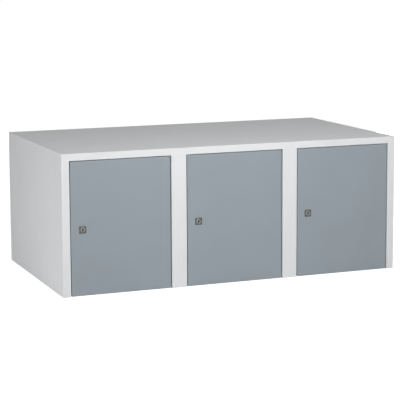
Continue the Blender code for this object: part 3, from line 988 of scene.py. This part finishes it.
# %% Door stiffener
rib_low, rib_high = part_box("door_stiffener_1")
rib_crown = 0.026
rib_inset = 0.012
rib_weld_inset = 0.006
rib_left = centre("door_stiffener_1").x - rib_crown / 2
rib_right = rib_left + rib_crown
rib_seat = rib_low.y + door_sheet / 2
rib_top = rib_high.y - door_sheet / 2
rib_height = rib_high.z - rib_low.z
rib_step = (rib_height - 2 * rib_inset) / 4
rib_rows = [rib_low.z + rib_inset + number * rib_step for number in range(5)]
door_rib = folded_strip(
    "door_rib_1",
    [(rib_low.x, rib_seat, rib_low.z), (rib_left, rib_seat, rib_low.z),
     (rib_left, rib_top, rib_low.z), (rib_right, rib_top, rib_low.z),
     (rib_right, rib_seat, rib_low.z), (rib_high.x, rib_seat, rib_low.z)],
    (0, 0, rib_height), door_fold, door_sheet,
)
weld_marks(door_rib, [
    (x, rib_seat + door_sheet / 2, z) for z in rib_rows
    for x in (rib_low.x + rib_weld_inset, rib_high.x - rib_weld_inset)
])

# %% [markdown]
# The hinge plate is welded inside the door and rests, with a nylon washer between, on the
# bracket. A headed pin through both is all that shows of the lower hinge when the door is open.
# At the top the pin goes up through the door's edge into the rail. Pins have a chamfered tip and
# a rounded head.

# %% Hinge plate, pins and washers
strap_low, strap_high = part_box("hinge_plate_1")
strap_weld_drop = 0.006
strap_weld_step = 0.0045
strap_leg = strap_low.y + plate_sheet / 2
strap = folded_plate("hinge_strap_1", strap_low, strap_high, strap_high.y, strap_leg)
cut_away(strap, pin_hole(hinge_xs[0], strap_low.z))
weld_marks(strap, [
    (hinge_xs[0] + x, strap_leg + plate_sheet / 2, strap_high.z - strap_weld_drop)
    for x in (-strap_weld_step, strap_weld_step)
])
head_height = 0.0018
washer_chamfer = 0.00015


def stood_on_axis(piece, solid):
    place_at(piece, (*centre(solid).xy, 0))
    return piece


def hinge_pin(name, solid, head_up):
    """A headed pin between the ends of its solid, with its head up or down."""
    low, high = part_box(solid)
    tip, head, along = (low.z, high.z, 1) if head_up else (high.z, low.z, -1)
    radius = (high.x - low.x) / 2
    taper = [(pin_radius - 0.0005, 0), (pin_radius - 0.0002, 0.0002), (pin_radius, 0.0006)]
    rim = [
        (pin_radius, head_height), (radius - 0.0001, head_height), (radius, head_height - 0.0001),
        (radius, 0.0008), (radius - 0.0003, 0.0003), (radius - 0.0009, 0.00005),
        (radius - 0.0016, 0), (0.0006, 0),
    ]
    profile = [(step, tip + along * height) for step, height in taper]
    profile += [(step, head - along * height) for step, height in rim]
    return stood_on_axis(turned(name, profile, 40), solid)


def nylon_washer(name, solid):
    low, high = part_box(solid)
    outer = (high.x - low.x) / 2
    inner = pin_radius + fit_gap
    edge = washer_chamfer
    washer = turned(name, [
        (inner, low.z + edge), (inner + edge, low.z), (outer - edge, low.z),
        (outer, low.z + edge), (outer, high.z - edge), (outer - edge, high.z),
        (inner + edge, high.z), (inner, high.z - edge), (inner, low.z + edge),
    ], 40, bored=True)
    return stood_on_axis(washer, solid)


lower_pin = hinge_pin("lower_pivot_1", "lower_hinge_pin_1", True)
upper_pin = hinge_pin("upper_pivot_1", "upper_hinge_pin_1", False)
lower_washer = nylon_washer("lower_spacer_1", "lower_hinge_washer_1")
upper_washer = nylon_washer("upper_spacer_1", "upper_hinge_washer_1")

# %% [markdown]
# The lock body is die cast: a square face with soft corners, a sloped rim and a round seat for
# the plug, and behind it a threaded barrel with the bore. The thread is a row of V-grooves of
# 1 mm pitch, which is what shows of it beside the nut.

# %% Lock body
thread_pitch = 0.001
thread_depth = 0.00045
thread_steps = ((0, 0), (thread_depth, 0.0004), (thread_depth, 0.0005), (0, 0.0009))
rim_slope = 0.0011
rim_drop = 0.0009
rim_bevel = 0.0003
face_corner = 0.0020
seat_slope = 0.0007
seat_depth = 0.000567
run_out = 0.0006


def lock_reach(solid):
    """How far a lock solid reaches before and behind the door's face, and its half width."""
    low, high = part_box(solid)
    return front_plane - low.y, front_plane - high.y, (high.x - low.x) / 2


def faces_up(face):
    return face.normal.z > 0.9


def set_in_door(piece):
    """Lays a piece that was made about Z on the axis of the first lock."""
    place_at(piece, (lock_x, front_plane, lock_height), (quarter, 0, 0))


lock_front, barrel_end, face_half = lock_reach("lock_housing_1")
plug_front, tail_end, plug_radius = lock_reach("lock_cylinder_1")
bore_radius = plug_radius + fit_gap
lock_body = block(
    (-face_half, -face_half, fit_gap), (face_half, face_half, lock_front - rim_drop),
    "lock_body_1",
)
bevel_piece(
    lock_body, lambda edge: min(map(abs, middle(edge).xy)) > face_half * 0.9, face_corner, 6
)
enter("EDIT")
pick("FACE", faces_up)
bpy.ops.mesh.inset(thickness=rim_slope, depth=rim_drop)
enter("OBJECT")
modify(lock_body, "BEVEL", width=rim_bevel, segments=3, angle_limit=math.radians(25))

barrel_profile = [
    (barrel_radius - 0.0003, (fit_gap + lock_front) / 2), (barrel_radius - 0.0003, -0.0008),
    (barrel_radius, -0.0011),
]
turn_start = -0.0014
while turn_start - thread_pitch > barrel_end + run_out:
    barrel_profile += [(barrel_radius - cut, turn_start - fall) for cut, fall in thread_steps]
    turn_start -= thread_pitch
barrel_profile += [(barrel_radius, barrel_end + 0.0005), (barrel_radius - 0.0005, barrel_end)]
cut_away(lock_body, turned("barrel", barrel_profile, 48), operation="UNION")
cut_away(lock_body, turned("bore with seat", [
    (bore_radius, barrel_end - overrun), (bore_radius, lock_front - seat_depth),
    (bore_radius + seat_slope, lock_front - 0.0001),
    (bore_radius + seat_slope + 0.0003, lock_front + 0.0004),
], 64))
set_in_door(lock_body)
print("lock face:", round(2000 * face_half, 1), "mm")

# %% [markdown]
# The plug turns in the bore. It is nickel plated, with a turned ring groove, a key slot with a
# small side step and a shallow funnel that guides the key in. Its square tail carries the cam.

# %% Lock plug
tail_half = 0.003
tail_bevel = 0.0003
slot_half = 0.00325
slot_side = 0.0010
step_corners = ((-0.0014, -0.0012), (0.0002, 0.0006))
funnel_side = 0.0018
funnel_half = slot_half + 0.0003
funnel_depth = 0.0010
funnel_round = 0.0016
ring_groove = 0.0003
screw_hole = (0.002, 0.016)
lock_plug = turned("lock_plug_1", [
    (plug_radius - 0.0004, barrel_end), (plug_radius, barrel_end + 0.0004),
    (plug_radius, plug_front - 0.0006), (plug_radius - 0.00015, plug_front - 0.0002),
    (plug_radius - 0.0005, plug_front), (plug_radius - 0.0010, plug_front),
    (plug_radius - 0.0012, plug_front - ring_groove),
    (plug_radius - 0.0015, plug_front - ring_groove), (plug_radius - 0.0017, plug_front),
    (0.0005, plug_front),
], 64)
tail = block((-tail_half, -tail_half, tail_end), (tail_half, tail_half, barrel_end / 2))
bevel_piece(tail, lambda edge: True, tail_bevel, 2)
cut_away(lock_plug, tail, operation="UNION")
funnel = block((-funnel_side, -funnel_half, plug_front - funnel_depth),
               (funnel_side, funnel_half, plug_front + overrun))
bevel_piece(funnel, is_upright, funnel_round, 5)
slot = ((-slot_side, -slot_half), (slot_side, slot_half))
cut_away(lock_plug, funnel, *[
    block((*low, plug_front - slot_depth), (*high, plug_front + overrun))
    for low, high in (slot, step_corners)
], rod((0, 0, tail_end), *screw_hole))
set_in_door(lock_plug)

# %% [markdown]
# Behind the door a thin hexagon nut clamps the body. Real nuts are chamfered on both sides, so
# the hexagon is intersected with a turned double cone. The cam is a stamped bar with a round hub
# and a square hole, and a pan-head screw with a cross recess holds it on the tail.

# %% Nut, cam and screw
nut_chamfer = 0.00085
bore_chamfer = 0.0004
nut_front, nut_back, nut_corner = lock_reach("lock_nut_1")
nut_flat = nut_corner * math.cos(quarter / 3)
nut = rod(
    (0, 0, (nut_front + nut_back) / 2), nut_corner, nut_front - nut_back, (0, 0, quarter / 3), 6,
    "lock_ring_nut_1",
)
cut_away(nut, turned("cone", [
    (nut_flat * 0.985, nut_back - 0.00002), (nut_corner * 1.02, nut_back + nut_chamfer),
    (nut_corner * 1.02, nut_front - nut_chamfer), (nut_flat * 0.985, nut_front + 0.00002),
], 64), operation="INTERSECT")
nut_bore = barrel_radius + fit_gap
cut_away(nut, turned("bore", [
    (barrel_radius + 0.0009, nut_back - 0.0002), (nut_bore, nut_back + bore_chamfer),
    (nut_bore, nut_front - bore_chamfer), (barrel_radius + 0.0009, nut_front + 0.0002),
], 64))
set_in_door(nut)

cam_chamfer = 0.003
cam_bevel = 0.00025
cam_front, cam_back, cam_half = lock_reach("lock_cam_1")
cam_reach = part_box("lock_cam_1")[1].z - lock_height
cam = block((-cam_half, 0, cam_back), (cam_half, cam_reach, cam_front), "lock_tongue_1")


def is_cam_corner(edge):
    return middle(edge).y > cam_reach * 0.9 and abs(middle(edge).x) > cam_half * 0.9


bevel_piece(cam, is_cam_corner, cam_chamfer, 1)
hub = rod((0, 0, (cam_back + cam_front) / 2), cam_half, cam_front - cam_back, sides=64)
cut_away(cam, hub, operation="UNION")
hole_half = tail_half + fit_gap
cut_away(cam, block((-hole_half, -hole_half, cam_back - overrun),
                    (hole_half, hole_half, cam_front + overrun)))
modify(cam, "BEVEL", width=cam_bevel, segments=2, angle_limit=math.radians(40))
set_in_door(cam)

shank_radius = 0.0017
screw_pitch = 0.0006
screw_depth = 0.0002
screw_turns = 8
head_thickness = 0.0022
recess_half = 0.0005
recess_reach = 0.0024
recess_depth = 0.0013
screw_tip, screw_head, head_radius = lock_reach("cam_screw_1")
head_seat = screw_head + head_thickness
screw_profile = [(shank_radius - 0.0005, screw_tip), (shank_radius, screw_tip - 0.0004)]
for number in range(screw_turns):
    turn_start = screw_tip - 0.0005 - number * screw_pitch
    screw_profile += [
        (shank_radius, turn_start), (shank_radius - screw_depth, turn_start - screw_pitch / 2)
    ]
screw_profile += [
    (shank_radius, head_seat + 0.0002), (shank_radius, head_seat),
    (head_radius - 0.0001, head_seat), (head_radius, head_seat - 0.0002),
    (head_radius, head_seat - 0.0009), (head_radius * 0.94, head_seat - 0.0014),
    (head_radius * 0.82, head_seat - 0.0018), (head_radius * 0.60, head_seat - 0.0021),
    (head_radius * 0.30, screw_head), (0.0003, screw_head),
]
screw = turned("tongue_screw_1", screw_profile, 36)
for turn in (0, quarter):
    recess = block((-recess_half, -recess_reach, screw_head - 0.001),
                   (recess_half, recess_reach, screw_head + recess_depth))
    enter("EDIT")
    pick("FACE", faces_up)
    bpy.ops.transform.resize(value=(0.7, 0.5, 1), center_override=(0, 0, screw_head))
    enter("OBJECT")
    place_at(recess, (0, 0, 0), (0, 0, turn))
    cut_away(screw, recess)
set_in_door(screw)

# %% [markdown]
# The three doors are alike and stand 300 mm apart, so every part of the first is copied twice.
# The panel, the hinge parts, the lock body and the nut ride on the door, and the plug, the cam
# and the screw ride on the lock, which turns in the door.

# %% Three doors
door_parts = [
    (door_pan, "door_panel_", blue_grey),
    (door_rib, "door_stiffener_", blue_grey),
    (strap, "hinge_plate_", blue_grey),
    (lower_pin, "lower_hinge_pin_", zinc),
    (upper_pin, "upper_hinge_pin_", zinc),
    (lower_washer, "lower_hinge_washer_", nylon),
    (upper_washer, "upper_hinge_washer_", nylon),
    (lock_body, "lock_housing_", lock_metal),
    (nut, "lock_nut_", zinc),
]
lock_parts = [
    (lock_plug, "lock_cylinder_", nickel),
    (cam, "lock_cam_", zinc),
    (screw, "cam_screw_", zinc),
]
for parts, body in ((door_parts, "door_"), (lock_parts, "lock_")):
    for first, stem, finish in parts:
        settle_row(first, stem, finish, body)
